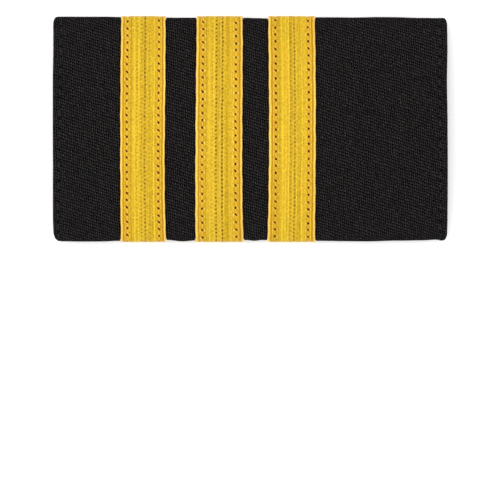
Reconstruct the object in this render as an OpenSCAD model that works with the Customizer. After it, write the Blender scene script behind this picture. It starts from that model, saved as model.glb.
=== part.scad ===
// Slip-on epaulette lying on its back: a flat sleeve of black twill, open at both
// ends, with three gold braids sewn round it. +X runs along the shoulder, +Y is the
// far edge of the sleeve, +Z points away from the surface that it lies on.

/* [Overall] */
// Length of the sleeve
sleeve_length = 100; // [90:1:120]
// Width over the braids, which stand out past the cloth
overall_width = 57.4; // [50:0.2:66]
// Height over the braids
overall_height = 8.6; // [8.4:0.1:10]

/* [Sleeve] */
// Thickness of the cloth
cloth = 1; // [1:0.1:1.2]
// Outer radius of the two long folds
fold_radius = 1.3; // [1.3:0.1:1.8]
// Height of the folds' centre lines above the surface that the epaulette lies on
fold_height = 3.4; // [3.2:0.1:3.5]
// Slope of the front where it runs into a fold, in degrees
front_slope = 20; // [14:0.5:22]
// Slope of the back where it runs into a fold, in degrees
back_slope = 9; // [8:0.5:12]
// Half of the width over which the back lies flat
back_flat = 10; // [6:0.5:11]

/* [Hems and seam] */
// Depth of the hem that is turned in at each end
hem_depth = 8; // [6:0.5:10]
// Extra thickness where the hem lies double
hem_extra = 0.35; // [0.2:0.05:0.5]
// Distance of the hem's stitches from the end
hem_stitch = 2.1; // [1.8:0.1:2.6]
// Depth of the dent that the stitches pull into the cloth
stitch_dent = 0.15; // [0:0.05:0.3]
// Width of the seam along the middle of the back
seam_width = 1.2; // [0.8:0.1:2]
// Depth of that seam
seam_depth = 0.4; // [0.2:0.05:0.5]

/* [Braids] */
// Thickness of a braid
braid_thickness = 1; // [1:0.1:1.2]
// Play between a braid and the cloth under it
braid_play = 0.05; // [0.05:0.01:0.1]
// Gap between the two ends of a braid at the back seam
braid_gap = 0.7; // [0.4:0.1:2]
// Distance of a braid's stitches from its edges
braid_stitch = 1.65; // [1.4:0.05:2]
// Width of the cloth's slope beside a braid
seat_slope = 0.55; // [0.4:0.05:0.8]

/* [Hidden] */

// Places along the sleeve are in hundredths of its length, from its left end.

// Each braid: place of its middle, width, and bow of its ends towards the right
BRAIDS = [
    [22.7, 11.35, 0.2],
    [42.1, 11.8, 0.2],
    [60.65, 11.9, -0.22],
];
MIDDLE = 0;
WIDTH = 1;
BOW = 2;

// Edges of the cloth: place, then how far the far edge and the near edge stay
// inside the edges of the braids
EDGES = [
    [0, 0.24, 0.14],
    [12, 0.24, 0.22],
    [17, 0.26, 0.36],
    [28.8, 0.4, 0.55],
    [33, 0.42, 0.23],
    [36, 0.45, 0.45],
    [49.2, 0.52, 0.52],
    [51, 0.54, 0.33],
    [53, 0.55, 0.55],
    [67.3, 0.37, 0.34],
    [75.4, 0.42, 0.29],
    [81.5, 0.31, 0.23],
    [87.5, 0.34, 0.32],
    [93.5, 0.47, 0.46],
    [97, 0.53, 0.62],
    [98.6, 0.5, 0.4],
    [100, 0.5, 0.45],
];
FAR = 1;
NEAR = 2;

// Faces of the cloth: place, then height of the back above the surface that the
// epaulette lies on, and how far the front stays below the top of the braids
FACES = [
    [0, 0.05, 0.65],
    [9, 0.3, 0.55],
    [16, 0.5, 0.5],
    [68, 0.5, 0.5],
    [80, 0.3, 0.55],
    [100, 0.05, 0.65],
];
BACK = 1;
FRONT = 2;

// Radii of the corners, seen from the front: left end, right end
FAR_CORNERS = [1.4, 1.2];
NEAR_CORNERS = [2.4, 1.6];
// Share of a corner's radius past which the rounded rim takes over
corner_start = 0.15;

half_width = overall_width / 2;
braid_depth = braid_thickness + braid_play;

// Steps of a section: each half of the front, each fold, each slope of the back
FRONT_STEPS = 7;
FOLD_STEPS = 6;
BACK_STEPS = 4;
RIM_STEPS = 4;
// Share of the front and back that the hem covers at its full thickness
hem_reach = 0.8;

// Half of the width and the depth of the dent along a braid's stitches, and the
// bevel of its edges
lane_width = 0.35;
lane_depth = 0.15;
edge_round = 0.3;
// Half of a braid's profile from its middle outwards and back along its underside:
// distance from the edge, and height above the underside
braid_profile_half = [
    [braid_stitch + lane_width, braid_thickness],
    [braid_stitch, braid_thickness - lane_depth],
    [braid_stitch - lane_width, braid_thickness],
    [edge_round, braid_thickness],
    [0, braid_thickness - edge_round],
    [0, edge_round / 2],
    [edge_round / 2, 0],
];

function mix(a, b, share) = a + (b - a) * share;
function clamp(value) = max(0, min(1, value));
function eased(share) = share * share * (3 - 2 * share);
function place_x(place) = (place / 100 - 0.5) * sleeve_length;
function x_place(x) = (x / sleeve_length + 0.5) * 100;

// Value of a table's column at a place, eased from row to row
function row_before(table, place, i = 0) =
    i + 2 >= len(table) || table[i + 1][0] > place ? i : row_before(table, place, i + 1);
function at(table, place, column) =
    let (
        i = row_before(table, place),
        a = table[i],
        b = table[i + 1],
        share = clamp((place - a[0]) / (b[0] - a[0]))
    )
    mix(a[column], b[column], eased(share));

// How far a rounded corner draws an edge in, at a distance from the sleeve's end
function corner_drop(radius, from_end) =
    let (miss = 1 - clamp(max(from_end / radius, corner_start)))
    radius * (1 - sqrt(1 - miss * miss));
function corner_at(radii, x) =
    max(
        corner_drop(radii[0], x + sleeve_length / 2),
        corner_drop(radii[1], sleeve_length / 2 - x)
    );

// Share of the way down to a braid's seat: 1 under a braid, 0 past the slope beside it
function braid_x(b) = place_x(b[MIDDLE]);
function seat_reach(b) = b[WIDTH] / 2 + braid_play;
function seat_share(x) =
    max([for (b = BRAIDS) clamp((seat_reach(b) + seat_slope - abs(x - braid_x(b))) / seat_slope)]);

// Shift along X of a point on a ring near a braid, so that the cloth bows with the
// braid. It fades out at 3 mm from the braid.
bow_fade = 3;
function total(list, i = 0) = i < len(list) ? list[i] + total(list, i + 1) : 0;
function bow(row, y) = row[BOW] * pow(y / half_width, 2);
function bow_shift(x, y) =
    total([for (b = BRAIDS)
        bow(b, y) * clamp((seat_reach(b) + bow_fade - abs(x - braid_x(b))) / bow_fade)]);

// The main sizes of the section at x: both half widths, back height, front height
function section_sizes(x) =
    let (place = x_place(x), seat = seat_share(x))
    [
        half_width - mix(at(EDGES, place, FAR) + corner_at(FAR_CORNERS, x), braid_depth, seat),
        half_width - mix(at(EDGES, place, NEAR) + corner_at(NEAR_CORNERS, x), braid_depth, seat),
        mix(at(FACES, place, BACK), braid_depth, seat),
        overall_height - mix(at(FACES, place, FRONT), braid_depth, seat),
    ];

// Each sample of a section is [y, z, normal y, normal z, hem share], where the hem
// share is how much of the hem's thickness lies there. The back is flat and then
// rises as a power of the distance to the fold, the fold is an arc, and the front
// falls from its middle as a power of y. Each power gives the slope that the arc has.
function fold_y(half) = half - fold_radius;

function back_sample(half, back, y) =
    let (
        end = fold_y(half) + fold_radius * sin(back_slope),
        run = end - back_flat,
        lift = fold_height - fold_radius * cos(back_slope) - back,
        power = tan(back_slope) * run / lift,
        share = clamp((y - back_flat) / run),
        slope = share > 0 ? lift * power / run * pow(share, power - 1) : 0,
        size = sqrt(1 + slope * slope)
    )
    [y, back + lift * pow(share, power), slope / size, -1 / size,
        clamp((end - y) / end / (1 - hem_reach))];

function fold_sample(half, angle) =
    [fold_y(half) + fold_radius * sin(angle), fold_height - fold_radius * cos(angle),
        sin(angle), -cos(angle), 0];

function front_sample(half, front, share) =
    let (
        end = fold_y(half) + fold_radius * sin(front_slope),
        rise = front - fold_height - fold_radius * cos(front_slope),
        power = tan(front_slope) * end / rise,
        slope = rise * power / end * pow(share, power - 1),
        size = sqrt(1 + slope * slope)
    )
    [end * share, front - rise * pow(share, power), slope / size, 1 / size,
        clamp((1 - share) / (1 - hem_reach))];

// One side of a section, from the back seam round the fold to the front's middle
function side(half, back, front, starts) =
    let (
        back_end = fold_y(half) + fold_radius * sin(back_slope),
        turn = 180 - front_slope - back_slope
    )
    concat(
        [for (y = starts) back_sample(half, back, y)],
        [for (k = [0:BACK_STEPS])
            back_sample(half, back, mix(back_flat, back_end, k / BACK_STEPS))],
        [for (k = [1:FOLD_STEPS - 1])
            fold_sample(half, back_slope + turn * k / FOLD_STEPS)],
        [for (k = [0:FRONT_STEPS - 1])
            front_sample(half, front, 1 - k / FRONT_STEPS)]
    );

function mirrored(samples) =
    [for (i = [len(samples) - 1:-1:0])
        let (s = samples[i]) [-s[0], s[1], -s[2], s[3], s[4]]];

// The whole section, anticlockwise seen from +X: far side, middle, near side
function section(sizes, starts) =
    concat(
        side(sizes[0], sizes[2], sizes[3], starts),
        [front_sample(sizes[0], sizes[3], 0)],
        mirrored(side(sizes[1], sizes[2], sizes[3], starts))
    );

// Triangles of a skin over rings of equal length, each joined to the next. Seen from
// outside they run clockwise, where each ring runs anticlockwise for somebody who looks
// back from the next ring.
function skin(rings, samples, last_ring, last_sample) =
    [for (i = [0:last_ring], j = [0:last_sample])
        let (
            a = i * samples + j,
            b = i * samples + (j + 1) % samples,
            c = (i + 1) % rings * samples + (j + 1) % samples,
            d = (i + 1) % rings * samples + j
        )
        each [[a, d, c], [a, c, b]]];

// Thickness of the sleeve at a sample: the cloth, and the hem inside near the ends
function wall(x, hem_share) =
    let (from_end = sleeve_length / 2 - abs(x))
    cloth + hem_extra * hem_share * clamp((hem_depth - from_end) / hem_extra);

// Dents in the outer face at a sample: the back seam's groove, and the hem's stitches
function dent(x, sample) =
    let (
        from_end = sleeve_length / 2 - abs(x),
        in_seam = sample[3] < 0 && abs(sample[0]) < seam_width / 4
    )
    (in_seam ? seam_depth : 0)
        + stitch_dent * sample[4] * clamp(1 - abs(from_end - hem_stitch));

// A ring of the sleeve round the whole section. The share through the wall is 0 on
// the outer face and 1 on the inner one. On a rim the ring keeps its distance from
// the sleeve's end, as a share of half of the wall.
seam_marks = [seam_width / 8, seam_width / 2];
function sleeve_ring(x, share, rim_share = undef) =
    let (
        end = sign(x) * sleeve_length / 2,
        base = is_undef(rim_share) ? x : end - sign(x) * cloth / 2 * rim_share
    )
    [for (s = section(section_sizes(base), seam_marks))
        let (
            depth = wall(base, s[4]),
            ring_x = is_undef(rim_share) ? x : end - sign(x) * depth / 2 * rim_share,
            inward = share * depth + (share == 0 ? dent(base, s) : 0)
        )
        [ring_x + bow_shift(base, s[0]), s[0] - s[2] * inward, s[1] - s[3] * inward]];

// Rings over a rim, from the outer face to the inner one for direction 1
function rim_rings(x, direction) =
    [for (k = [0:RIM_STEPS])
        let (angle = 180 * (direction > 0 ? k : RIM_STEPS - k) / RIM_STEPS)
        sleeve_ring(x, (1 - cos(angle)) / 2, 1 - sin(angle))];

// Places along X of the sleeve's rings: at each braid, and where the hem, its
// stitches and the edges of the cloth need them. The lists for the two ends are
// distances from the end, the others are places.
function braid_stops() =
    [for (b = BRAIDS)
        let (near = seat_reach(b), far = near + seat_slope)
        for (d = [-far, -near, near, far]) braid_x(b) + d];
OUTER_LEFT = [1.1, hem_stitch, 3.1, 5.5, 9, 13];
OUTER_GAPS = [33, 51.3];
OUTER_RIGHT = [70, 75.4, 81.5, 87.5, 93.5];
OUTER_END = [3.1, hem_stitch, 1.1];
INNER_LEFT = [4, hem_depth - hem_extra, hem_depth, 13];
INNER_GAPS = [33, 51.3];
INNER_RIGHT = [75.4, 84];
INNER_END = [hem_depth, hem_depth - hem_extra, 4];

function stops(left, gaps, right, end) =
    let (b = braid_stops(), half = sleeve_length / 2)
    concat(
        [for (d = left) d - half],
        [for (k = [0:3]) b[k]],
        [place_x(gaps[0])],
        [for (k = [4:7]) b[k]],
        [place_x(gaps[1])],
        [for (k = [8:11]) b[k]],
        [for (p = right) place_x(p)],
        [for (d = end) half - d]
    );
function reversed(list) = [for (i = [len(list) - 1:-1:0]) list[i]];

module sleeve() {
    half = sleeve_length / 2;
    rings = concat(
        [for (x = stops(OUTER_LEFT, OUTER_GAPS, OUTER_RIGHT, OUTER_END)) sleeve_ring(x, 0)],
        rim_rings(half, 1),
        [for (x = reversed(stops(INNER_LEFT, INNER_GAPS, INNER_RIGHT, INNER_END)))
            sleeve_ring(x, 1)],
        rim_rings(-half, -1)
    );
    samples = len(rings[0]);
    color("#201e1f")
        polyhedron(
            points = [for (ring = rings) each ring],
            faces = skin(len(rings), samples, len(rings) - 1, samples - 1),
            convexity = 8
        );
}

// Triangles that close a profile whose second half mirrors its first: a fan from each
// bottom corner, and two between them
function cap(count) =
    let (half = count / 2)
    concat(
        [for (k = [0:half - 3]) [k, k + 1, half - 1]],
        [for (k = [half + 1:count - 2]) [half, k, k + 1]],
        [[0, half - 1, half], [0, half, count - 1]]
    );

// A braid is its profile carried round the section of its seat, from one end at the
// back seam to the other
braid_starts = [braid_gap / 2];
function braid_profile(width) =
    concat(
        [for (p = braid_profile_half) [p[0] - width / 2, p[1]]],
        [for (p = reversed(braid_profile_half)) [width / 2 - p[0], p[1]]]
    );

module braid(row) {
    sizes = section_sizes(braid_x(row));
    profile = braid_profile(row[WIDTH]);
    count = len(profile);
    rings = [for (s = section(sizes, braid_starts))
        [for (p = profile)
            let (out = braid_play + p[1])
            [
                braid_x(row) + p[0] + bow(row, s[0]),
                s[0] + s[2] * out,
                s[1] + s[3] * out,
            ]]];
    last = len(rings) - 1;
    color("#ecc034")
        polyhedron(
            points = [for (ring = rings) each ring],
            faces = concat(
                skin(len(rings), count, last - 1, count - 1),
                cap(count),
                [for (t = cap(count)) [for (k = reversed(t)) last * count + k]]
            ),
            convexity = 8
        );
}

module braid_1() { braid(BRAIDS[0]); }
module braid_2() { braid(BRAIDS[1]); }
module braid_3() { braid(BRAIDS[2]); }

sleeve();
braid_1();
braid_2();
braid_3();
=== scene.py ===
import bpy
import numpy as np
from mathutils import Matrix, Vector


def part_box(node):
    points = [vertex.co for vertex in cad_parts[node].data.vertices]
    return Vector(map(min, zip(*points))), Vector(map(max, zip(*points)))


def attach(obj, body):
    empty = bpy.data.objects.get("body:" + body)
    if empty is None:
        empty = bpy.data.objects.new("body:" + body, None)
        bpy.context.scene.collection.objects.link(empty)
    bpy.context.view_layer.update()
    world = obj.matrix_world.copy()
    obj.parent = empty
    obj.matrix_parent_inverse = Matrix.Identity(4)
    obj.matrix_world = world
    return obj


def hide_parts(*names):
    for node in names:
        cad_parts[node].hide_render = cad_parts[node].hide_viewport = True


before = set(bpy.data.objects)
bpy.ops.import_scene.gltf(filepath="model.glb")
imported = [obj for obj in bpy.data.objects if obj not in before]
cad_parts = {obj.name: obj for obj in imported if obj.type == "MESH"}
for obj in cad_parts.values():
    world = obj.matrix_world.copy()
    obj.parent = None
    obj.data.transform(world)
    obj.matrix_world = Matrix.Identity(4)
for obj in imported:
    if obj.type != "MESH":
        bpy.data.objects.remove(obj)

# The epaulette lies on its back on a pale floor, seen straight from above. Shapes are
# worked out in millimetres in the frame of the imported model, and go into the meshes in
# metres. x runs along the sleeve, y across it to the far edge, and z up. Angles are in
# radians.
MM = 0.001
TURN = 2 * np.pi
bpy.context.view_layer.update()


def high_corner(node):
    """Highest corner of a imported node, in millimetres."""
    return np.array(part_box(node)[1]) / MM


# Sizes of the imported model
HALF_LENGTH = high_corner("sleeve")[0]
_, HALF_WIDTH, HEIGHT = high_corner("braid_1")

# The section of the sleeve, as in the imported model: thickness of the cloth, radius of its
# folds, height of their middle, how steeply the front and the back run into them, and
# half the width of the flat part of the back
CLOTH = 1.0
FOLD_RADIUS = 1.3
FOLD_HEIGHT = 3.4
FRONT_SLOPE = np.radians(20)
BACK_SLOPE = np.radians(9)
BACK_FLAT = 10.0
# A braid: its thickness, its play over the cloth, the depth of the seat that it presses
# into the cloth, and the width of the slope on each side of the seat
BRAID_THICKNESS = 1.0
BRAID_PLAY = 0.05
SEAT_DEPTH = BRAID_THICKNESS + BRAID_PLAY
SEAT_SLOPE = 0.16
# A hem inside the cloth: how far it reaches in from the end, how much it thickens the
# wall, how long the step to that is, and up to what share of the half width it is full
HEM_DEPTH = 8.0
HEM_EXTRA = 0.35
HEM_STEP = 0.3
HEM_REACH = 0.8

# Each braid: where its two edges run at four places across the sleeve, how far its two
# rows of stitches are from its edges, how far the lines of painted shade beside its left
# and its right selvage are from them, how strong the painted highlights beside the needle
# holes are, and its lengthwise grooves and columns of weave holes, each as its distance
# from the left edge and its strength
EDGE_PLACES = (27.6, 7.4, -10.4, -27.6)
BRAIDS = [
    {
        "name": "braid_1",
        "left": (-32.65, -32.9, -32.9, -32.8),
        "right": (-21.48, -21.53, -21.66, -21.37),
        "lane": 1.66,
        "shades": (0.73, 0.71),
        "flecks": 0.55,
        "grooves": ((2.66, 0.4), (3.9, 0.2), (8.94, 0.45)),
        "holes": ((4.18, 0.4), (5.19, 0.55), (6.2, 0.8), (7.22, 0.4)),
    },
    {
        "name": "braid_2",
        "left": (-13.55, -13.8, -13.92, -13.88),
        "right": (-1.95, -1.95, -2.02, -1.76),
        "lane": 1.72,
        "shades": (0.84, 0.76),
        "flecks": 0.85,
        "grooves": (
            (2.66, 0.35), (3.75, 0.35), (7.67, 0.3),
            (8.36, 0.6), (9.15, 0.4), (10.75, 0.35),
        ),
        "holes": ((4.18, 0.35), (5.14, 0.95), (6.71, 1.0), (7.98, 0.3)),
    },
    {
        "name": "braid_3",
        "left": (4.56, 4.71, 4.69, 4.37),
        "right": (16.33, 16.59, 16.54, 16.41),
        "lane": 1.78,
        "shades": (0.84, 0.8),
        "flecks": 0.45,
        "grooves": ((2.79, 0.4), (4.05, 0.3), (4.56, 0.35), (9.12, 0.35)),
        "holes": ((5.5, 0.5), (6.54, 0.7), (7.35, 0.18), (7.85, 0.12)),
    },
]

# Edges of the cloth: place in hundredths of the length, then how far the far edge and
# the near edge stay inside the edges of the braids
EDGES = np.array([
    (0, 0.24, 0.14),
    (12, 0.24, 0.22),
    (17, 0.26, 0.36),
    (28.8, 0.4, 0.55),
    (33, 0.42, 0.23),
    (36, 0.45, 0.45),
    (49.2, 0.52, 0.52),
    (51, 0.54, 0.33),
    (53, 0.55, 0.55),
    (67.3, 0.37, 0.34),
    (75.4, 0.42, 0.29),
    (81.5, 0.31, 0.23),
    (87.5, 0.34, 0.32),
    (93.5, 0.47, 0.46),
    (97, 0.53, 0.62),
    (98.6, 0.5, 0.4),
    (100, 0.5, 0.45),
])
# Faces of the cloth: place, height of the back above the floor, and how far the front
# stays below the top of the braids
FACES = np.array([
    (0, 0.05, 0.65),
    (9, 0.3, 0.55),
    (16, 0.5, 0.5),
    (68, 0.5, 0.5),
    (80, 0.3, 0.55),
    (100, 0.05, 0.65),
])
# Ends of the cloth: place across the sleeve, then how far the left end and the right end
# stay inside its length
ENDS = np.array([
    (-27, 0.1, 0.1),
    (-23, 0.0, 0.03),
    (-9, 0.03, 0.0),
    (2, 0.0, 0.05),
    (12, 0.0, 0.2),
    (21, 0.1, 0.05),
    (27, 0.05, 0.1),
])
# Corner radii at the left end and the right end, and the share of a radius from the end
# at which its curve begins
FAR_CORNERS = (1.3, 1.4)
NEAR_CORNERS = (2.2, 1.5)
CORNER_START = 0.03


def eased(table, place, column):
    """Value of a table's column at each place: between two rows it goes from one to
    the other as 3 t^2 - 2 t^3, where t is the share of the way between them."""
    row = np.clip(np.searchsorted(table[:, 0], place, side="right") - 1, 0, len(table) - 2)
    before, after = table[row], table[row + 1]
    t = np.clip((place - before[..., 0]) / (after[..., 0] - before[..., 0]), 0, 1)
    t = t * t * (3 - 2 * t)
    return before[..., column] * (1 - t) + after[..., column] * t


def dip(offset, width):
    """A rounded bump of height 1: exp(-(offset / width)^2)."""
    return np.exp(-(offset / width) ** 2)


def corner_drop(radius, from_end):
    """How far a rounded corner draws the edge in: r - sqrt(r^2 - (r - d)^2) at a
    distance d from the end, where d is at least a small share of r."""
    miss = 1 - np.clip(np.maximum(from_end / radius, CORNER_START), 0, 1)
    return radius * (1 - np.sqrt(1 - miss * miss))


def hundredths(x):
    """Place of x in hundredths of the sleeve's length, from its left end."""
    return 50 + 50 * x / HALF_LENGTH


def half_width(x, column, corners, seat):
    """Half width of the cloth at x: that of the braids less the inset of the table and
    of the corners, or less the depth of a braid's seat where the seat is 1."""
    inset = eased(EDGES, hundredths(x), column)
    inset = inset + corner_drop(corners[0], x + HALF_LENGTH)
    inset = inset + corner_drop(corners[1], HALF_LENGTH - x)
    return HALF_WIDTH - inset * (1 - seat) - SEAT_DEPTH * seat


def face_heights(x, seat):
    """Heights of the back and of the front of the cloth at x."""
    place = hundredths(x)
    back = eased(FACES, place, 1) * (1 - seat) + SEAT_DEPTH * seat
    front = eased(FACES, place, 2) * (1 - seat) + SEAT_DEPTH * seat
    return back, HEIGHT - front


def beside(*blocks):
    """Blocks of columns, put side by side."""
    return np.concatenate(blocks, axis=1)


def curve(run, lift, slope, t):
    """A line that rises as lift t^p over its run, where p gives it the slope at t = 1.
    Returns its height and the two parts of its normal, steepness and 1 over their size."""
    power = np.tan(slope) * run / lift
    steep = lift * power / run * t ** (power - 1)
    size = np.sqrt(1 + steep ** 2)
    return lift * t ** power, steep / size, 1 / size


def side(half, back, front, flat, steps):
    """One side of a section, from the back seam round the fold to the front's middle.
    The back is flat and then curves up, the fold is an arc, and the front curves down
    from its middle. Both curves end with the slope that the arc has there. Returns y, z,
    the outward normal's y and z, and the hem's share, one row for each section."""
    slope_steps, fold_steps, front_steps = steps
    centre = half - FOLD_RADIUS

    end = centre + FOLD_RADIUS * np.sin(BACK_SLOPE)
    run = end - BACK_FLAT
    lift = FOLD_HEIGHT - FOLD_RADIUS * np.cos(BACK_SLOPE) - back
    t = np.arange(1, slope_steps + 1) / slope_steps
    back_y = beside(flat + 0 * half, BACK_FLAT + run * t)
    rise, out, up = curve(run, lift, BACK_SLOPE, np.clip((back_y - BACK_FLAT) / run, 0, 1))
    hem = np.clip((end - back_y) / end / (1 - HEM_REACH), 0, 1)
    parts = [(back_y, back + rise, out, -up, hem)]

    turn = np.pi - FRONT_SLOPE - BACK_SLOPE
    angle = BACK_SLOPE + turn * np.arange(1, fold_steps) / fold_steps + 0 * half
    out, up = np.sin(angle), -np.cos(angle)
    fold_y, fold_z = centre + FOLD_RADIUS * out, FOLD_HEIGHT + FOLD_RADIUS * up
    parts += [(fold_y, fold_z, out, up, 0 * angle)]

    end = centre + FOLD_RADIUS * np.sin(FRONT_SLOPE)
    lift = front - FOLD_HEIGHT - FOLD_RADIUS * np.cos(FRONT_SLOPE)
    t = 1 - np.arange(front_steps) / front_steps + 0 * half
    fall, out, up = curve(end, lift, FRONT_SLOPE, t)
    hem = np.clip((1 - t) / (1 - HEM_REACH), 0, 1)
    parts += [(end * t, front - fall, out, up, hem)]
    return [beside(*column) for column in zip(*parts)]


def section(far, near, back, front, flat, steps):
    """The whole section, anticlockwise seen from +x: the far side, the middle of the
    front, and the near side as the mirror image of a side with its own half width."""
    far_side = side(far, back, front, flat, steps)
    near_side = side(near, back, front, flat, steps)
    middle = [0 * far, front, 0 * far, 1 + 0 * far, 1 + 0 * far]
    signs = (-1, 1, -1, 1, 1)
    return [
        beside(a, m, sign * b[:, ::-1])
        for a, m, b, sign in zip(far_side, middle, near_side, signs)
    ]


def arc_lengths(y, z):
    """Length along each row of points, from its first point."""
    steps = np.hypot(np.diff(y, axis=1), np.diff(z, axis=1))
    return beside(np.zeros((len(y), 1)), np.cumsum(steps, axis=1))


class Path:
    """The outer line of a section, by its length from the middle of the front. The
    length grows to the far side, and is measured at a distance out from the line. It has
    so many points on the flat of the back, and steps of slope, fold and front."""

    flat = np.linspace(0, BACK_FLAT, 200)[None, :]
    steps = (300, 200, 600)

    def __init__(self, far, near, back, front, out=0.0):
        sizes = [np.array([[value]]) for value in (far, near, back, front)]
        rows = section(*sizes, self.flat, self.steps)
        y, z, normal_y, normal_z, hem = [row[0] for row in rows]
        length = arc_lengths((y + out * normal_y)[None, :], (z + out * normal_z)[None, :])[0]
        middle = len(y) // 2
        self.length = (length[middle] - length)[::-1]
        self.columns = np.stack([y, z, normal_y, normal_z])[:, ::-1]
        self.low, self.high = self.length[0], self.length[-1]

    def at(self, length):
        """y, z and the normal's y and z at each length from the front's middle."""
        return [np.interp(length, self.length, column) for column in self.columns]


def edge_line(places):
    """A smooth line through the four places of a braid's edge: the cubic of y."""
    return np.polynomial.Polynomial.fit(EDGE_PLACES, places, 3)


for braid in BRAIDS:
    braid["left_line"] = edge_line(braid["left"])
    braid["right_line"] = edge_line(braid["right"])


def quads(rows, columns, wrap_rows, wrap_columns):
    """Corners of the faces between neighbouring points of a grid, as numbers of points.
    Each runs to the next row, on to the next column, and back."""
    r = np.arange(rows if wrap_rows else rows - 1)[:, None]
    c = np.arange(columns if wrap_columns else columns - 1)[None, :]
    r2, c2 = (r + 1) % rows, (c + 1) % columns
    corners = [r * columns + c, r2 * columns + c, r2 * columns + c2, r * columns + c2]
    return np.stack(corners, axis=-1).reshape(-1, 4)


def end_caps(start, rows, ring):
    """The two faces that close a tube at both ends, from the number of its first point,
    its rows and the points of a ring."""
    end = start + rows * ring
    return [list(range(start, start + ring)), list(range(end - 1, end - ring - 1, -1))]


def new_object(name, data):
    """An object in the scene, at the origin."""
    thing = bpy.data.objects.new(name, data)
    bpy.context.scene.collection.objects.link(thing)
    return thing


def new_piece(name, points, faces, material, caps=()):
    """A smooth mesh from points in millimetres. What would reach into the floor is
    pressed flat on it."""
    points = points.reshape(-1, 3)
    points = np.column_stack([points[:, :2], np.maximum(points[:, 2], 0)])
    mesh = bpy.data.meshes.new(name)
    mesh.from_pydata((points * MM).tolist(), [], faces.tolist() + list(caps))
    mesh.shade_smooth()
    mesh.materials.append(material)
    return new_object(name, mesh)


def set_map(piece, name, across, along):
    """Puts a pattern map on the faces of grids, from the values at the corners of the
    faces. Each array has one more row and column than there are faces; a leading axis
    stands for many equal grids. Caps stay at 0."""
    corners = [(slice(0, -1), slice(0, -1)), (slice(1, None), slice(0, -1))]
    corners += [(slice(1, None), slice(1, None)), (slice(0, -1), slice(1, None))]
    values = [np.stack([across[(..., *c)], along[(..., *c)]], axis=-1) for c in corners]
    values = np.stack(values, axis=-2).reshape(-1, 2)
    whole = np.zeros((len(piece.data.loops), 2))
    whole[:len(values)] = values
    piece.data.uv_layers.new(name=name).data.foreach_set("uv", whole.ravel())


def set_values(piece, name, values):
    """Puts one number on each point of a piece, for its material to read."""
    layer = piece.data.attributes.new(name, "FLOAT", "POINT")
    layer.data.foreach_set("value", values.ravel().astype(np.float32))


class Wire:
    """A socket of a shader, so that its sums can be written as Python expressions."""

    def __init__(self, finish, socket):
        self.finish = finish
        self.socket = socket

    def __add__(self, other):
        return self.finish.sum("ADD", self, other)

    def __sub__(self, other):
        return self.finish.sum("SUBTRACT", self, other)

    def __rsub__(self, other):
        return self.finish.sum("SUBTRACT", other, self)

    def __mul__(self, other):
        return self.finish.sum("MULTIPLY", self, other)

    __radd__ = __add__
    __rmul__ = __mul__


class Finish:
    """A material under construction: one shader, and the nodes that feed it."""

    def __init__(self, name, **constants):
        self.material = bpy.data.materials.new(name)
        self.material.use_nodes = True
        self.tree = self.material.node_tree
        self.shader = self.tree.nodes["Principled BSDF"]
        for label, value in constants.items():
            self.shader.inputs[label.replace("_", " ")].default_value = value

    def node(self, kind, settings, values, output=0):
        """Adds a node: its settings first, then the values or links of its sockets.
        Returns one of its outputs."""
        node = self.tree.nodes.new(kind)
        for key, value in settings.items():
            setattr(node, key, value)
        for key, value in values.items():
            if isinstance(value, Wire):
                self.tree.links.new(value.socket, node.inputs[key])
            else:
                node.inputs[key].default_value = value
        return Wire(self, node.outputs[output])

    def sum(self, operation, *values):
        """A Math node."""
        return self.node("ShaderNodeMath", {"operation": operation}, dict(enumerate(values)))

    def crest(self, turns):
        """A wave from -1 at whole turns to 1 half way between them: -cos(2 pi turns)."""
        return 0 - self.sum("COSINE", TURN * turns)

    def wave(self, turns):
        """A wave from 0 at whole turns to 1 half way between them."""
        return 0.5 + 0.5 * self.crest(turns)

    def clipped(self, value):
        """The value, held between 0 and 1."""
        return self.node("ShaderNodeClamp", {}, {"Value": value})

    def mixed(self, share, a, b):
        """The colour a where the share is 0, and b where it is 1."""
        a, b = [colour if isinstance(colour, Wire) else (*colour, 1) for colour in (a, b)]
        return self.node("ShaderNodeMix", {"data_type": "RGBA"}, {0: share, 6: a, 7: b}, output=2)

    def map(self, name):
        """The two values of a piece's own pattern map."""
        place = self.node("ShaderNodeUVMap", {"uv_map": name}, {})
        return [self.node("ShaderNodeSeparateXYZ", {}, {0: place}, output=i) for i in (0, 1)]

    def reading(self, name):
        """A number that each point of the piece carries."""
        return self.node("ShaderNodeAttribute", {"attribute_name": name}, {}, output="Fac")

    def noise(self, across, along, detail=2.0):
        """Even noise, from 0 to 1, over two values."""
        place = self.node("ShaderNodeCombineXYZ", {}, {0: across, 1: along})
        sockets = {"Vector": place, "Scale": 1.0, "Detail": detail}
        return self.node("ShaderNodeTexNoise", {}, sockets)

    def chance(self, across, along):
        """A number from 0 to 1 that is the same all over each unit square."""
        square = {0: self.sum("FLOOR", across), 1: self.sum("FLOOR", along)}
        place = self.node("ShaderNodeCombineXYZ", {}, square)
        return self.node("ShaderNodeTexWhiteNoise", {"noise_dimensions": "2D"}, {"Vector": place})

    def feed(self, label, wire):
        """Links a value to a socket of the shader."""
        self.tree.links.new(wire.socket, self.shader.inputs[label])

    def bump(self, height, depth):
        """Feeds the shader's normal from a height from 0 to 1 and its depth in mm."""
        sockets = {"Strength": 1.0, "Distance": depth * MM, "Height": height}
        self.feed("Normal", self.node("ShaderNodeBump", {}, sockets))


# The twill, in turns to a millimetre across and along the cloth's map: its ribs, which
# fall to the right, and the yarns that cross them. The shift, in turns, sets the yarns
# apart on the ribs' upper flanks; in the colour this one-sided pattern is painted light
# and shade, as if lit from the far side. The colours are painted shade in a pit and a
# painted highlight on a yarn's top.
TWILL_RIBS = (0.43, 1.29)
TWILL_YARNS = (1.911, 0.142)
TWILL_SHIFT = 0.21
TWILL_PIT_SHADE = (0.0003, 0.0003, 0.0003)
TWILL_TOP_HIGHLIGHT = (0.0528, 0.0472, 0.0468)
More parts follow.
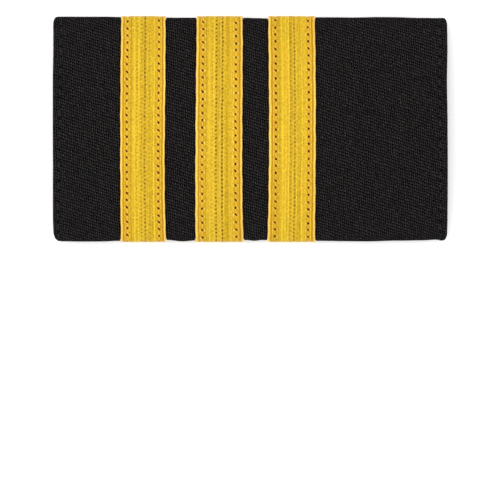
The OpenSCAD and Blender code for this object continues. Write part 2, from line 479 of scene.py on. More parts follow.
# Pitch of the hems' stitches
HEM_PITCH = 2.63
# Weave of the braids: width of a lengthwise thread, length between two weave holes, and
# length in which a thread passes over or under one pick
RIB_PITCH = 0.334
WEAVE_PITCH = 1.0
PICK = WEAVE_PITCH / 3
# Colours of the braids: the gold in shade and in light, a painted shade and a painted
# highlight of one gold, yellower and warmer, and what the marks on the points turn it to
GOLD_SHADE = ((0.24, 0.142, 0.004), (0.27, 0.117, 0.004))
GOLD_LIGHT = ((0.89, 0.628, 0.039), (0.925, 0.578, 0.041))
# The marks: pale selvages, a painted highlight for a fleck, and painted shade for a groove and for
# a weave hole
GOLD_MARKS = {
    "pale": (0.84, 0.59, 0.19),
    "fleck": (1.0, 0.83, 0.2),
    "groove": (0.36, 0.16, 0.004),
    "weave_hole": (0.075, 0.03, 0.0005),
}
# A needle hole's colours, painted shade: brown on its rim and near black in its pit
NEEDLE_HOLE_RIM = (0.2, 0.024, 0.0005)
NEEDLE_HOLE_PIT = (0.004, 0.0005, 0.0002)


def black_twill():
    """Diagonal ribs that fall to the right, crossed by nearly upright yarns. The height
    is a sum of four waves, over the ribs, the yarns, and the yarns less and plus the
    ribs. It is held between 0 and 1 and eased as 3 h^2 - 2 h^3. So the ribs' lower
    flanks are smooth, and on their upper flanks the yarns stand apart, with a pit
    between each two. The colour follows the height, as painted shade in the pits and a
    painted highlight on the yarns' tops, one-sided as if lit from the far side. Each
    crossing has its own brightness, fine fibres run along the yarns, and all of it
    wanders. The needle's holes along the hems are painted dark, as shade in the holes."""
    finish = Finish("black_twill", Roughness=0.8, Specular_IOR_Level=0.02)
    across, along = finish.map("cloth")
    drift = 0.5 * finish.noise(across * 0.25, along * 0.25)
    rib_drift = drift + 0.85 * finish.noise(across * 0.6, along * 0.8)
    yarn_drift = drift + 1.1 * finish.noise(across + 20.0, along * 0.6)
    rib_turns = across * TWILL_RIBS[0] + along * TWILL_RIBS[1] + rib_drift
    yarn_turns = across * TWILL_YARNS[0] + along * TWILL_YARNS[1] + yarn_drift
    waves = 0.25 * finish.crest(rib_turns) + 0.38 * finish.crest(yarn_turns)
    waves = waves + 0.28 * finish.crest(yarn_turns - rib_turns - TWILL_SHIFT)
    waves = waves + 0.17 * finish.crest(yarn_turns + rib_turns + TWILL_SHIFT)
    # The needle's holes along the hems, painted dark as shade in the holes
    near_hole = finish.clipped(3.0 * finish.wave(along * (1 / HEM_PITCH) + 0.5) - 2.0)
    hole = finish.reading("hem_line") * near_hole
    height = finish.clipped(0.27 + 1.3 * waves)
    height = height * height * (3.0 - 2.0 * height) * (1 - hole)
    own = finish.chance(rib_turns, yarn_turns)
    fibres = finish.noise(across * 9.0 - along, along * 1.2 + across * 0.15)
    # Painted shade in the pits and a painted highlight on the tops, times random tone
    tone = height * (0.14 + 0.3 * own + 0.55 * fibres)
    finish.feed("Base Color", finish.mixed(tone, TWILL_PIT_SHADE, TWILL_TOP_HIGHLIGHT))
    finish.bump(height + 0.3 * fibres, 0.1)
    return finish.material


def gold_braid():
    """A plain weave: each lengthwise thread is a ridge that rises over one pick and dips
    under the next, the other way round than the threads beside it. The colour goes from
    the gold in shade to the gold in light over each ridge and each crossing that lies over,
    as painted shade and highlight. Each thread and each crossing has its own brightness,
    long streaks and fine floss run along the threads, and the gold turns slowly from yellow
    to warm. It has pale selvages, painted shade in the grooves, painted highlights beside
    the holes, and holes painted dark with a brown rim as shade. The points of the piece
    carry where those are."""
    finish = Finish("gold_braid", Roughness=0.45, Metallic=0.25, Specular_IOR_Level=0.04)
    across, along = finish.map("braid")
    threads = across * (1 / RIB_PITCH)
    picks = along * (1 / PICK)
    ridge = finish.crest(threads)
    over = finish.crest(0.5 * threads - 0.25) * finish.crest(0.5 * picks)
    own = finish.chance(threads, picks + 0.5)
    streaks = finish.noise(across * 3.6, along * 0.02, detail=1.0)
    hue = finish.noise(across * 0.8 + 3.7, along * 0.05, detail=1.0)
    floss = finish.noise(across * 17.0, along * 2.8, detail=0.0)
    thread = finish.chance(threads, 0.5)
    uneven = 0.5 * streaks + 0.3 * thread + 0.35 * floss
    # Painted light and shade: lighter on each thread's ridge and on each crossing that lies over,
    # darker between, with random tone from the streaks, threads and floss
    light = finish.clipped(0.2 * ridge + over * (0.7 * own - 0.2) + uneven)
    warm = finish.clipped(1.4 * hue - 0.4 + finish.reading("margin"))
    shade_gold, light_gold = [finish.mixed(warm, *pair) for pair in (GOLD_SHADE, GOLD_LIGHT)]
    colour = finish.mixed(light, shade_gold, light_gold)
    for mark, mark_colour in GOLD_MARKS.items():
        colour = finish.mixed(finish.reading(mark), colour, mark_colour)
    # The needle holes painted dark as shade: a brown rim and a near black pit
    depth = 2.0 * finish.reading("needle_hole")
    colour = finish.mixed(finish.clipped(depth), colour, NEEDLE_HOLE_RIM)
    colour = finish.mixed(finish.clipped(depth - 1.0), colour, NEEDLE_HOLE_PIT)
    finish.feed("Base Color", colour)
    finish.bump(0.25 * over + 0.3 * ridge + 0.3 * floss, 0.08)
    return finish.material


def twisted_thread(name, dark, light, roughness, specular, twist):
    """Thread of two strands: slanted bands along the stitch, so many to a millimetre. The colour
    follows the bump, dark between the strands and light on them, as painted shade and
    highlight.
    """
    finish = Finish(name, Roughness=roughness, Specular_IOR_Level=specular)
    around, along = finish.map("thread")
    strand = finish.wave(along * twist + around)
    finish.feed("Base Color", finish.mixed(strand, dark, light))
    finish.bump(strand, 0.03)
    return finish.material


def floor_finish():
    """Plain pale board with a very faint mottle, lit through a little, as a light table
    is, so that shadows on it stay faint."""
    finish = Finish("pale_floor", Roughness=0.9, Specular_IOR_Level=0.0, Emission_Strength=0.08)
    place = finish.node("ShaderNodeTexCoord", {}, {}, output="Object")
    mottle = finish.node("ShaderNodeTexNoise", {}, {"Vector": place, "Scale": 12.0, "Detail": 2.0})
    finish.feed("Base Color", finish.mixed(mottle, (0.96, 0.96, 0.96), (0.98, 0.98, 0.98)))
    return finish.material


BLACK_TWILL = black_twill()
GOLD_BRAID = gold_braid()
# Each thread's darker and lighter tone: painted shade between its strands and a painted highlight
# on them
dark, light = (0.5, 0.27, 0.012), (0.76, 0.47, 0.04)
GOLD_THREAD = twisted_thread("gold_thread", dark, light, roughness=0.45, specular=0.2, twist=2.2)
dark, light = (0.004, 0.0038, 0.004), (0.03, 0.029, 0.03)
BLACK_THREAD = twisted_thread("black_thread", dark, light, roughness=0.6, specular=0.04, twist=1.5)

# The back seam: depth and half width of its groove, and inside, how far the allowance
# reaches, how much it thickens the wall, and how long the step to that is
SEAM_DEPTH = 0.4
SEAM_HALF = 0.3
SEAM_ALLOWANCE = 6.0
SEAM_EXTRA = 0.3
SEAM_STEP = 0.15
# The sleeve's mesh round a section: places on the flat of the back, and steps of its
# slope, of a fold and of half the front
SLEEVE_FLAT = np.concatenate([
    (0.03, 0.15, 0.3, 0.6),
    np.linspace(1.2, SEAM_ALLOWANCE - SEAM_STEP, 10),
    np.linspace(SEAM_ALLOWANCE + SEAM_STEP, BACK_FLAT, 8),
])[None, :]
SLEEVE_STEPS = (26, 12, 48)
# The mesh along the sleeve: its step outside, under the braids and inside, steps on the
# slope of a seat and round a rim, and more places near the ends, outside and inside
CLOTH_STEP = 0.29
HIDDEN_STEP = 1.5
INNER_STEP = 1.6
SLOPE_STEPS = 4
RIM_STEPS = 8
CORNER_STOPS = (0.58, 0.67, 0.9)
HEM_STOPS = (*CORNER_STOPS, 1.3, 2.0, HEM_DEPTH - HEM_STEP, HEM_DEPTH)
# Length of the cloth's map from the left end over the outside, the right rim, the inside
# and the left rim
ROUND_TRIP = 4 * (HALF_LENGTH - CLOTH / 2) + np.pi * CLOTH
# The hems' stitches: how far they are from the left end and from the right end, how much
# further in their line runs at the far edge than at the near edge, how wide the line's
# mark is, how far they stay from the back seam, and depth and width of their dent
HEM_LINES = {-1: 1.65, 1: 1.85}
HEM_LEANS = {-1: 0.9, 1: 0.1}
HEM_MARK = 0.3
HEM_BARE = 0.5
HEM_DENT = 0.14
HEM_DENT_WIDTH = 0.4
# Share of the dent that is a wave with the holes, and share that fades out at the folds
HOLE_SHARE = 0.35
FADE_SHARE = 0.65
# The puff of the hem beside its stitches: its height, its place from the end, its width
HEM_PUFF = 0.06
HEM_PUFF_PLACE = 0.9
HEM_PUFF_WIDTH = 0.5
# Ripples of the cloth: height, reach along the sleeve and round it, and phase
RIPPLES = (
    (0.035, 5.1, 9.0, 0.0),
    (0.03, 3.3, -6.1, 1.7),
    (0.02, 1.9, 3.7, 0.4),
)


def hem_line(end, y):
    """Distance of a hem's stitches from the sleeve's end at y: a straight line that
    leans by half of its lean to each side of the middle."""
    return HEM_LINES[end] + HEM_LEANS[end] * 0.5 * y / HALF_WIDTH


def end_x(end, y):
    """Place of the sleeve's end at y."""
    inset = eased(ENDS, np.clip(y, ENDS[0, 0], ENDS[-1, 0]), 1 if end < 0 else 2)
    return end * (HALF_LENGTH - inset)


def key_lines(y):
    """Places along the sleeve at y that the mesh keeps to: near both ends, and the foot
    and the top of the slope on each side of each braid."""
    lines = [end_x(-1, y) + CLOTH / 2]
    for braid in BRAIDS:
        left = braid["left_line"](y) - BRAID_PLAY
        right = braid["right_line"](y) + BRAID_PLAY
        lines += [left - SEAT_SLOPE, left, right, right + SEAT_SLOPE]
    return np.stack(lines + [end_x(1, y) - CLOTH / 2])


def stations(step, from_ends):
    """Steps along the sleeve. Each is the number of a key line and the share of the way
    to the next one. The steps are wide where a braid hides the cloth. There are more at
    the given distances from both ends."""
    lines = key_lines(np.zeros(1))[:, 0]
    runs = []
    for number, width in enumerate(np.diff(lines)):
        hidden = number % 4 == 2
        slope = number % 4 in (1, 3)
        count = SLOPE_STEPS if slope else max(1, round(width / (HIDDEN_STEP if hidden else step)))
        runs.append(number + np.arange(count) / count)
    right = HALF_LENGTH - np.array(from_ends)
    more = np.interp(np.concatenate([-right, right]), lines, np.arange(len(lines)))
    return np.union1d(np.concatenate(runs + [[len(lines) - 1.0]]), more)


def seat_at(station):
    """Depth of a braid's seat, from 0 to 1, at a station: 1 between the two lines under
    a braid, and a straight fall to them from the lines beside it."""
    depths = [0.0] + [0.0, 1.0, 1.0, 0.0] * len(BRAIDS) + [0.0]
    return np.interp(station, np.arange(len(depths)), depths)


def station_x(station, y):
    """x of a station at y: its share of the way between its two key lines there."""
    lines = key_lines(y)
    number = np.broadcast_to(np.minimum(station, len(lines) - 2).astype(int), y.shape)
    before, after = [np.take_along_axis(lines, n[None], 0)[0] for n in (number, number + 1)]
    return before + (after - before) * (station - number)


def sleeve_rings(far_x, near_x, middle_x, seat):
    """Sections of the sleeve, from where each lies at its two edges and its middle."""
    far = half_width(far_x, 1, FAR_CORNERS, seat)[:, None]
    near = half_width(near_x, 2, NEAR_CORNERS, seat)[:, None]
    back, front = face_heights(middle_x, seat)
    return section(far, near, back[:, None], front[:, None], SLEEVE_FLAT, SLEEVE_STEPS)


def ripples(x, length):
    """Slight unevenness of the cloth: a sum of slow waves, each the sine of x and of the
    length round the sleeve over their reaches."""
    return sum(
        height * np.sin(x / reach + length / round_reach + phase)
        for height, reach, round_reach, phase in RIPPLES
    )


def hem_marks(x, y):
    """How near a point is to a hem's line of stitches, from 0 to 1 on it."""
    return sum(dip(end * (end_x(end, y) - x) - hem_line(end, y), HEM_MARK) for end in (-1, 1))


def hem_shape(x, y, length, hem):
    """How far a hem's stitches pull the cloth in: a trough along their line, deepest at
    each hole, less a puff of the hem between the line and the sleeve's end. Both fade
    towards the folds."""
    total = np.zeros_like(x)
    for end in (-1, 1):
        from_end = end * (end_x(end, y) - x)
        pull = 1 - HOLE_SHARE + HOLE_SHARE * np.cos(TURN * length / HEM_PITCH)
        total += HEM_DENT * pull * dip(from_end - hem_line(end, y), HEM_DENT_WIDTH)
        total -= HEM_PUFF * dip(from_end - HEM_PUFF_PLACE, HEM_PUFF_WIDTH)
    return total * (1 - FADE_SHARE + FADE_SHARE * hem)


def wall_at(x, rows):
    """Thickness of the wall: one cloth, more over the hems, and more over the seam
    allowance inside the back."""
    y, z, normal_y, normal_z, hem = rows
    turned = hem * np.clip((HEM_DEPTH - HALF_LENGTH + np.abs(x)) / HEM_STEP, 0, 1)
    pressed = (normal_z < 0) * np.clip((SEAM_ALLOWANCE - np.abs(y)) / SEAM_STEP, 0, 1)
    return CLOTH + HEM_EXTRA * turned + SEAM_EXTRA * pressed


def layer(x, rows, inward):
    """One layer of the sleeve: the section's points moved inwards along their normals
    by a share of the wall, by the seam's groove, and by the hem's and ripples' shape.
    Returns the points and their lengths round the sleeve."""
    y, z, normal_y, normal_z, hem = rows
    length = arc_lengths(y, z)
    closing = np.hypot(y[:, :1] - y[:, -1:], z[:, :1] - z[:, -1:])
    middle = y.shape[1] // 2
    length = length[:, middle:middle + 1] - length
    groove = (normal_z < 0) * SEAM_DEPTH * np.clip(1 - np.abs(y) / SEAM_HALF, 0, 1)
    dent = hem_shape(x, y, length, hem) - ripples(x, length)
    outside = np.clip(1 - 2 * inward, 0, 1)
    move = inward * wall_at(x, rows) + outside * groove + dent * (1 - inward / 2)
    points = np.stack([x, y - normal_y * move, z - normal_z * move], axis=-1)
    return points, beside(length, length[:, -1:] - closing)


def sleeve_face(station, inward):
    """The outer or the inner face of the sleeve, from one end to the other, with its
    map's place across: x outside, and inside as it goes on over the right rim."""
    lines = (HALF_WIDTH, -HALF_WIDTH, 0.0)
    edges = [station_x(station, np.full(len(station), y)) for y in lines]
    rows = sleeve_rings(*edges, seat_at(station))
    x = station_x(station[:, None], rows[0])
    across = ROUND_TRIP / 2 - x if inward else x
    return *layer(x, rows, inward), beside(across, across[:, :1])


def sleeve_rim(end):
    """The rim of an end, from the outer to the inner face at the right end and back at
    the left: at an angle a it lies (1 - cos a) / 2 of the wall inwards, and half a wall
    times (1 - sin a) short of the end."""
    turned = np.pi * np.arange(1, RIM_STEPS)[:, None] / RIM_STEPS
    angle = turned[::end]
    short = CLOTH / 2 * (1 - np.sin(angle))
    edge = end * (HALF_LENGTH - short[:, 0])
    rows = sleeve_rings(edge, edge, edge, 0 * edge)
    x = end_x(end, rows[0]) - end * short
    start = HALF_LENGTH - CLOTH / 2 + (ROUND_TRIP / 2 if end < 0 else 0)
    across = start + CLOTH / 2 * turned + np.zeros((1, x.shape[1] + 1))
    return *layer(x, rows, (1 - np.cos(angle)) / 2), across


def make_sleeve():
    """The sleeve is one closed skin: the outer face, the right rim, the inner face back
    to the left, and the left rim. Its rows go into the mesh from the last to the first,
    so that its faces look outwards."""
    parts = [
        sleeve_face(stations(CLOTH_STEP, CORNER_STOPS), 0.0),
        sleeve_rim(1),
        sleeve_face(stations(INNER_STEP, HEM_STOPS)[::-1], 1.0),
        sleeve_rim(-1),
    ]
    points, long, across = [np.concatenate(part)[::-1] for part in zip(*parts)]
    faces = quads(len(points), points.shape[1], True, True)
    piece = new_piece("sleeve_cloth", points, faces, BLACK_TWILL)
    across = np.concatenate([across, across[:1] - ROUND_TRIP])
    set_map(piece, "cloth", across, np.concatenate([long, long[:1]]))
    outside = len(parts[0][0])
    marks = np.zeros(points.shape[:2])
    marks[-outside:] = hem_marks(points[-outside:, :, 0], points[-outside:, :, 1])
    set_values(piece, "hem_line", marks)
    return piece


# The needle's holes along a braid: their pitch, the length at both ends together that has
# none, height and reach of their slow drift, and how far they scatter
STITCH_PITCH = 1.83
BARE_ENDS = 1.5
STITCH_DRIFT = 0.25
DRIFT_REACH = 11.0
STITCH_SCATTER = 0.12


def stitch_places(path, seed):
    """Places of a row's needle holes along a braid: even steps with a slow drift and a
    small scatter."""
    scatter = np.random.default_rng(seed)
    count = int((path.high - path.low - BARE_ENDS) / STITCH_PITCH)
    even = (np.arange(count) - (count - 1) / 2) * STITCH_PITCH
    drift = STITCH_DRIFT * np.sin(even / DRIFT_REACH + seed)
    return even + drift + scatter.uniform(-STITCH_SCATTER, STITCH_SCATTER, count)


def nearest_gap(along, places):
    """Distance along the braid from the nearest of the places, with its sign."""
    number = np.clip(np.searchsorted(places, along), 1, len(places) - 1)
    before, after = along - places[number - 1], along - places[number]
    return np.where(np.abs(before) < np.abs(after), before, after)


# Spots on a braid: strength, place across and along from the middle of the hole, width
# and length
WEAVE_HOLE = (1.2, 0.0, 0.0, 0.22, 0.25)
WEAVE_FLECK = (0.7, -0.36, -0.12, 0.15, 0.26)
NEEDLE_HOLE = (1.0, 0.0, 0.0, 0.23, 0.27)
NEEDLE_FLECK = (1.0, 0.5, -0.06, 0.2, 0.27)
# Weave holes: how far a column is shifted from the one before it, in pitches, least and
# most strength, how far a hole lies aside of its column, and its slant
COLUMN_SHIFT = 0.43
WEAVE_STRENGTHS = (0.62, 1.14)
WEAVE_ASIDE = 0.06
WEAVE_SLANT = 0.3
# Needle holes: least and most strength of a hole, of a fleck beside it, and of its slant,
# and place and width of the lines of shade beside the thread
NEEDLE_STRENGTHS = (0.8, 1.15)
FLECK_STRENGTHS = (0.35, 1.1)
NEEDLE_SLANTS = (-0.2, 0.8)
THREAD_SHADE = 0.38
THREAD_SHADE_WIDTH = 0.13


def spot(shape, off, beyond):
    """A rounded spot: its strength times a dip across and a dip along, each with its own
    place and width."""
    strength, across, along, width, length = shape
    return strength * dip(off - across, width) * dip(beyond - along, length)


def weave_holes(braid, across, along, seed):
    """Columns of small holes, one to a pitch, each with its own strength and with a fleck
    beside it. A hole is a dent painted dark as shade, a fleck a slight rise painted as a
    highlight. Returns holes and flecks, from 0 to 1."""
    scatter = np.random.default_rng(seed)
    holes, flecks = np.zeros_like(across), np.zeros_like(across)
    for column, (place, strength) in enumerate(braid["holes"]):
        turns = along / WEAVE_PITCH + COLUMN_SHIFT * column
        number = np.round(turns).astype(int)
        count = number.max() - number.min() + 1
        own = scatter.uniform(*WEAVE_STRENGTHS, count)[number - number.min()]
        aside = scatter.uniform(-WEAVE_ASIDE, WEAVE_ASIDE, count)[number - number.min()]
        off = across - place - aside
        beyond = (turns - number) * WEAVE_PITCH
        holes += strength * own * spot(WEAVE_HOLE, off - WEAVE_SLANT * beyond, beyond)
        flecks += strength * own * spot(WEAVE_FLECK, off, beyond)
    return np.clip(holes, 0, 1), np.clip(flecks, 0, 1)


def needle_holes(braid, across, along, width, lanes, seed):
    """Holes along both rows of stitches, each of its own strength and slant, with a fleck
    on each side, and the lines of shade on both sides of the thread. Holes are dents painted
    dark as shade, flecks are slight rises painted as highlights, and the lines are painted
    shade. Returns holes, flecks and lines, from 0 to about 1."""
    scatter = np.random.default_rng(seed + 5)
    holes, flecks, lines = [np.zeros_like(across) for _ in range(3)]
    for middle, places in zip((braid["lane"], width - braid["lane"]), lanes):
        off = across - middle
        gap = nearest_gap(along, places)
        number = np.searchsorted(places[:-1] + np.diff(places) / 2, along)
        for sign in (-1, 1):
            own = scatter.uniform(*FLECK_STRENGTHS, len(places))[number]
            flecks += own * braid["flecks"] * spot(NEEDLE_FLECK, sign * off, gap)
        own = scatter.uniform(*NEEDLE_STRENGTHS, len(places))[number]
        slant = scatter.uniform(*NEEDLE_SLANTS, len(places))[number]
        holes += own * spot(NEEDLE_HOLE, off + slant * gap, gap)
        lines += dip(np.abs(off) - THREAD_SHADE, THREAD_SHADE_WIDTH)
    return holes, flecks, lines


# Mesh of a braid: its step along the front, of which two are a turn of the weft, its step
# round the back, how far the front's steps go from the middle, steps across to a thread,
# and half the gap at the back seam
ROW_STEP = WEAVE_PITCH / 5
BACK_ROW_STEP = 0.28
FRONT_REACH = 32.0
RIB_STEPS = 4
SEAM_GAP = 0.35
# Slow waves along a braid, each with its height and reach: how the threads wander, and
# how the edges bulge, on which the weft's turns stand out by a little more
WANDER = ((0.03, 6.3), (0.02, 2.3))
BULGES = ((0.03, 0.7), (0.03, 1.9))
WEFT_BULGE = 0.02
# Body of a braid: height of its threads' ridges and of its picks, how far it lies below
# the braid's thickness, and how far from the edge it and the painted shade in the valleys
# begin
RIB_HEIGHT = 0.03
PICK_HEIGHT = 0.012
BODY_DROP = 0.06
BODY_START = 0.5
VALLEY_START = 0.9
# Round cord of a selvage: distance of its middle from the edge, height of that, radius,
# height and width of its wraps, and place and width of its pale line
SELVAGE = 0.27
SELVAGE_HEIGHT = 0.72
SELVAGE_RADIUS = 0.28
WRAP_HEIGHT = 0.02
WRAP_WIDTH = 0.3
PALE_PLACE = 0.18
PALE_WIDTH = 0.21
# Widths of a groove, of the trough along a column of holes, of a lane of stitches, and of
# the lines of shade beside the left and the right selvage. A trough has a share of its
# holes' strength, and the right line of shade is the stronger one.
GROOVE_WIDTH = 0.13
TROUGH_WIDTH = 0.2
TROUGH_SHARE = 0.3
LANE_WIDTH = 0.42
SHADE_WIDTHS = (0.19, 0.2)
RIGHT_SHADE = 1.3
# Depths of a groove, a lane, a needle hole and a weave hole, and height of a fleck
GROOVE_DEPTH = 0.08
LANE_DEPTH = 0.1
NEEDLE_DEPTH = 0.34
WEAVE_DEPTH = 0.16
FLECK_HEIGHT = 0.03
# The hidden side of a braid's profile: share of its width, and height
UNDERSIDE = np.array([
    (1.0, 0.25),
    (0.987, 0.03),
    *((share, 0.0) for share in (0.8, 0.6, 0.4, 0.2)),
    (0.013, 0.03),
    (0.0, 0.25),
])


def slow_waves(along, seed, waves):
    """A sum of sines along a braid. Each has its own height and reach, and is shifted by
    its number times the seed."""
    return sum(
        height * np.sin(along / reach + number * seed)
        for number, (height, reach) in enumerate(waves, 1)
    )


def thread_place(across, along, width, seed):
    """Where a point lies across the lengthwise threads, in pitches: a whole number of
    threads fills the braid's width, and slow waves make them wander sideways."""
    return (across + slow_waves(along, seed, WANDER)) * round(width / RIB_PITCH) / width


def scallops(along, seed):
    """How far an edge of a braid bulges out: a small wave with the weft's turns, and
    slow ones."""
    return WEFT_BULGE * np.cos(np.pi * along / ROW_STEP) + slow_waves(along, seed, BULGES)


def furrows(across, places, width):
    """Lengthwise furrows of one width: a dip of its own strength at each place."""
    return sum(strength * dip(across - place, width) for place, strength in places)


def braid_surface(braid, across, along, width, lanes, seed):
    """Height of a braid's upper face, and how far its material changes there: pale, fleck,
    margin, groove, weave_hole and needle_hole, each from 0 to 1. The fleck is a painted
    highlight, and the groove, weave_hole and needle_hole are painted shade. The face has
    fine ribs, a round cord at each edge, grooves, and a trough with needle holes in each
    lane."""
    edge = np.minimum(across, width - across)
    ribs = -RIB_HEIGHT * np.cos(TURN * thread_place(across, along, width, seed))
    picks = PICK_HEIGHT * np.cos(np.pi * along / PICK)
    wraps = np.cos(np.pi * along / ROW_STEP) * (0.6 + 0.4 * np.sin(along / 1.7 + 3 * seed))
    body = np.where(edge > BODY_START, BRAID_THICKNESS - BODY_DROP + ribs + picks, 0)
    reach = np.clip(1 - ((edge - SELVAGE) / SELVAGE_RADIUS) ** 2, 0, 1)
    cord = SELVAGE_HEIGHT + (SELVAGE_RADIUS + picks) * np.sqrt(reach)
    height = np.where(edge < SELVAGE, cord, np.maximum(cord, body))
    height = height - WRAP_HEIGHT * wraps * dip(edge - SELVAGE, WRAP_WIDTH)

    small, small_flecks = weave_holes(braid, across, along, seed)
    large, large_flecks, lines = needle_holes(braid, across, along, width, lanes, seed)
    troughs = furrows(across, braid["holes"], TROUGH_WIDTH)
    grooves = furrows(across, braid["grooves"], GROOVE_WIDTH) + TROUGH_SHARE * troughs
    lane = dip(edge - braid["lane"], LANE_WIDTH)
    left_shade = dip(across - braid["shades"][0], SHADE_WIDTHS[0])
    right_shade = dip(width - across - braid["shades"][1], SHADE_WIDTHS[1])
    shade = left_shade + RIGHT_SHADE * right_shade
    height = height - GROOVE_DEPTH * (grooves + shade) - LANE_DEPTH * lane
    height = height - NEEDLE_DEPTH * large - WEAVE_DEPTH * small
    height = height + FLECK_HEIGHT * (small_flecks + large_flecks)

    valleys = np.clip(-ribs / RIB_HEIGHT, 0, 1) * (edge > VALLEY_START)
    pale = dip(edge - PALE_PLACE, PALE_WIDTH) * (0.75 - 0.3 * wraps)
    # The groove mark is painted shade: in the grooves and troughs, along the lines of shade, and
    # in the valleys between the threads
    groove = 0.8 * grooves + 0.7 * shade + 0.45 * lines + 0.16 * valleys
    return height, {
        "pale": np.clip(pale, 0, 1),
        "fleck": np.clip(large_flecks + 0.45 * small_flecks, 0, 1),
        "margin": np.clip(1 - 0.5 * edge, 0, 0.6),
        "groove": np.clip(groove, 0, 1),
        "weave_hole": small,
        "needle_hole": np.clip(1.7 * large - 0.2, 0, 1),
    }


def make_braid(braid, seed):
    """A braid is a closed profile carried round its seat, from the back seam over the
    far fold, the front and the near fold back to it. The profile's upper side is a grid
    of fine steps."""
    half = HALF_WIDTH - SEAT_DEPTH
    middle = BRAID_PLAY + BRAID_THICKNESS / 2
    path = Path(half, half, SEAT_DEPTH, HEIGHT - SEAT_DEPTH, out=middle)
    fine = np.arange(0, FRONT_REACH, ROW_STEP)
    last = path.high - SEAM_GAP
    coarse = np.linspace(fine[-1] + BACK_ROW_STEP, last, int((last - fine[-1]) / BACK_ROW_STEP))
    arm = np.concatenate([fine, coarse])
    along = np.concatenate([arm[:0:-1], -arm])[:, None]

    width = float(np.mean(np.array(braid["right"]) - np.array(braid["left"])))
    columns = round(width / RIB_PITCH) * RIB_STEPS
    share = np.arange(columns + 1)[None, :] / columns + 0 * along
    lanes = [stitch_places(path, seed + lane) for lane in (1, 2)]
    height, marks = braid_surface(braid, share * width, along + 0 * share, width, lanes, seed)

    y, z, normal_y, normal_z = path.at(along)
    left = braid["left_line"](y) - scallops(along, seed)
    right = braid["right_line"](y) + scallops(along, seed + 1)
    share = beside(share, UNDERSIDE[None, :, 0] + 0 * along)
    out = BRAID_PLAY + beside(height, UNDERSIDE[None, :, 1] + 0 * along)
    x = left + (right - left) * share
    points = np.stack([x, y + normal_y * out, z + normal_z * out], axis=-1)
    rows, ring = share.shape
    faces = quads(rows, ring, False, True)
    caps = end_caps(0, rows, ring)
    piece = new_piece(braid["name"] + "_band", points, faces, GOLD_BRAID, caps)
    wide = width * beside(share, share[:, :1])
    threads = thread_place(wide, along, width, seed)
    set_map(piece, "braid", threads * RIB_PITCH, along + 0 * wide)
    hidden = np.zeros((rows, len(UNDERSIDE)))
    for name, values in marks.items():
        set_values(piece, name, beside(values, hidden))
    return piece, path, lanes, width


# Mesh of a stitch: points round it and along it, and the share of its section that it
# loses up to its ends
STITCH_ROUND = 8
STITCH_ROWS = 11
STITCH_TAPER = 0.55


def stitches_round(name, path, line, places, shape, material):
    """Stitches that run round a section, as one mesh. Each goes from one hole to the
    next: at a share t from -1 to 1 of its length it lies its rise above the path less
    its sink times t^5. Its oval section narrows with t^4, and is closed at both ends."""
    share, rise, sink, width, height, slant = shape
    t = np.linspace(-1, 1, STITCH_ROWS)[None, :]
    middle = (places[1:] + places[:-1]) / 2
    reach = (places[1:] - places[:-1]) / 2 * share
    along = middle[:, None] + reach[:, None] * t
    y, z, normal_y, normal_z = [value[:, :, None] for value in path.at(along)]
    angle = TURN * np.arange(STITCH_ROUND) / STITCH_ROUND
    taper = (1 - STITCH_TAPER * np.abs(t) ** 4)[:, :, None] / 2
    out = rise - sink * np.abs(t[:, :, None]) ** 5 + np.sin(angle) * taper * height
    x = line(y) + slant * t[:, :, None] + np.cos(angle) * taper * width
    points = np.stack([x, y + normal_y * out, z + normal_z * out], axis=-1)

    count = len(places) - 1
    starts = np.arange(count) * STITCH_ROWS * STITCH_ROUND
    faces = quads(STITCH_ROWS, STITCH_ROUND, False, True)[None] + starts[:, None, None]
    caps = [cap for start in starts for cap in end_caps(start, STITCH_ROWS, STITCH_ROUND)]
    piece = new_piece(name, points, faces.reshape(-1, 4), material, caps)
    wide = np.tile(np.arange(STITCH_ROUND + 1) / STITCH_ROUND, (count, STITCH_ROWS, 1))
    set_map(piece, "thread", wide, along[:, :, None] + 0 * wide)
    return piece


# Stitches: share of the way between two holes, height above the path in the middle, how
# far the ends sink, width, thickness, and how far each end lies to its side
GOLD_STITCH = (0.76, BRAID_PLAY + BRAID_THICKNESS - 0.13, 0.3, 0.34, 0.22, -0.07)
BLACK_STITCH = (0.8, 0.0, 0.3, 0.34, 0.26, 0.0)


def make_braid_stitches(braid, path, lanes, width):
    """The two rows of gold stitches of a braid."""
    pieces = []
    for number, places in enumerate(lanes):
        share = abs(number - braid["lane"] / width)

        def line(y):
            return braid["left_line"](y) * (1 - share) + braid["right_line"](y) * share

        name = f"{braid['name']}_stitches_{number + 1}"
        pieces.append(stitches_round(name, path, line, places, GOLD_STITCH, GOLD_THREAD))
    return pieces


def make_hem_stitches(end):
    """The row of black stitches along a hem."""

    def line(y):
        return end_x(end, y) - end * hem_line(end, y)

    x = line(np.array([HALF_WIDTH, -HALF_WIDTH, 0.0]))
    far = half_width(x[0], 1, FAR_CORNERS, 0.0)
    near = half_width(x[1], 2, NEAR_CORNERS, 0.0)
    path = Path(far, near, *face_heights(x[2], 0.0))
    count = int((path.high - HEM_BARE) / HEM_PITCH)
    places = np.arange(-count, count + 1) * HEM_PITCH
    name = "hem_stitches_left" if end < 0 else "hem_stitches_right"
    return stitches_round(name, path, line, places, BLACK_STITCH, BLACK_THREAD)


def placed(piece, slot, *nodes):
    """Lets a piece ride on the one body, and stand for the nodes that it replaces, which are
    hidden. The slot is not used."""
    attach(piece, "root")
    if nodes:
        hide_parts(*nodes)
    return piece


sleeve = placed(make_sleeve(), "black_twill", "sleeve")
hems = [placed(make_hem_stitches(end), "black_twill") for end in (-1, 1)]
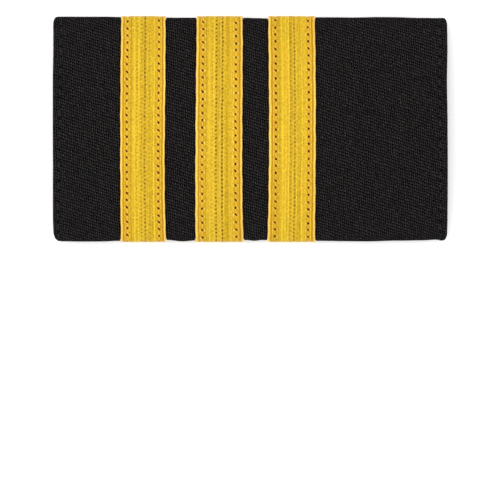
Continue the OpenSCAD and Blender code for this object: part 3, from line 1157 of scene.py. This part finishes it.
# The cut of the cloth is its length and two hems by its girth and a seam allowance, and
# that of a braid its width by its way round the sleeve. Only the braid's is worked out,
# as flat, and it is not used.
for number, braid in enumerate(BRAIDS):
    band, path, lanes, width = make_braid(braid, 10 * number + 3)
    placed(band, "gold_braid", braid["name"])
    rows = make_braid_stitches(braid, path, lanes, width)
    threads = [placed(row, "gold_braid") for row in rows]
    flat = (width * MM, (path.high - path.low) * MM)


# The photo's frame in pixels: its width, and how far above and to the right of its middle
# the epaulette's middle lies. A pixel in millimetres comes from the epaulette's length.
FRAME_PIXELS = 500
UP_PIXELS = 121.05
RIGHT_PIXELS = 0.3
PIXEL = 0.2533
FRAME_WIDTH = FRAME_PIXELS * PIXEL
# A long lens, as if seen from far away, its sensor's width, and the height at which the
# frame has its width
LENS = 800.0
SENSOR = 36.0
FOCUS_HEIGHT = 5.0
# The floor reaches far past the frame, and lies just below the lowest cloth.
FLOOR_REACH = 2500.0
FLOOR_DROP = 0.02


def make_camera():
    """Straight down from far enough that the frame is as wide as the photo's at the
    height of the folds: distance = width times lens over sensor."""
    data = bpy.data.cameras.new("camera")
    data.lens, data.sensor_width = LENS, SENSOR
    data.clip_start, data.clip_end = 0.05, 20.0
    camera = new_object("camera", data)
    distance = FRAME_WIDTH * LENS / SENSOR + FOCUS_HEIGHT
    camera.location = (-RIGHT_PIXELS * PIXEL * MM, -UP_PIXELS * PIXEL * MM, distance * MM)
    bpy.context.scene.camera = camera


def make_floor():
    """A square pale board under the epaulette."""
    corners = [(-1, -1), (1, -1), (1, 1), (-1, 1)]
    points = np.array([(x * FLOOR_REACH, y * FLOOR_REACH, -FLOOR_DROP) for x, y in corners])
    mesh = bpy.data.meshes.new("floor")
    mesh.from_pydata((points * MM).tolist(), [], [(0, 1, 2, 3)])
    mesh.materials.append(floor_finish())
    floor = new_object("floor", mesh)


def make_light(name, place, size, power):
    """A square soft light that looks at the epaulette and isn't seen itself."""
    data = bpy.data.lights.new(name, "AREA")
    data.shape, data.size, data.energy = "SQUARE", size, power
    light = new_object(name, data)
    light.location = place
    light.rotation_mode = "QUATERNION"
    light.rotation_quaternion = (-light.location).to_track_quat("-Z", "Y")
    light.visible_camera = False


def make_world():
    """Even white light from all round."""
    world = bpy.data.worlds.new("studio")
    world.use_nodes = True
    sky = world.node_tree.nodes["Background"]
    sky.inputs["Color"].default_value = (1.0, 1.0, 1.0, 1)
    sky.inputs["Strength"].default_value = 1.0
    bpy.context.scene.world = world


make_camera()
make_floor()
make_light("overhead", place=(0.0, 0.0, 1.2), size=1.0, power=6.1)
make_light("key", place=(-0.45, 0.1, 0.8), size=0.3, power=1.6)
make_world()
bpy.context.scene.view_settings.view_transform = "Standard"
bpy.context.scene.view_settings.look = "None"
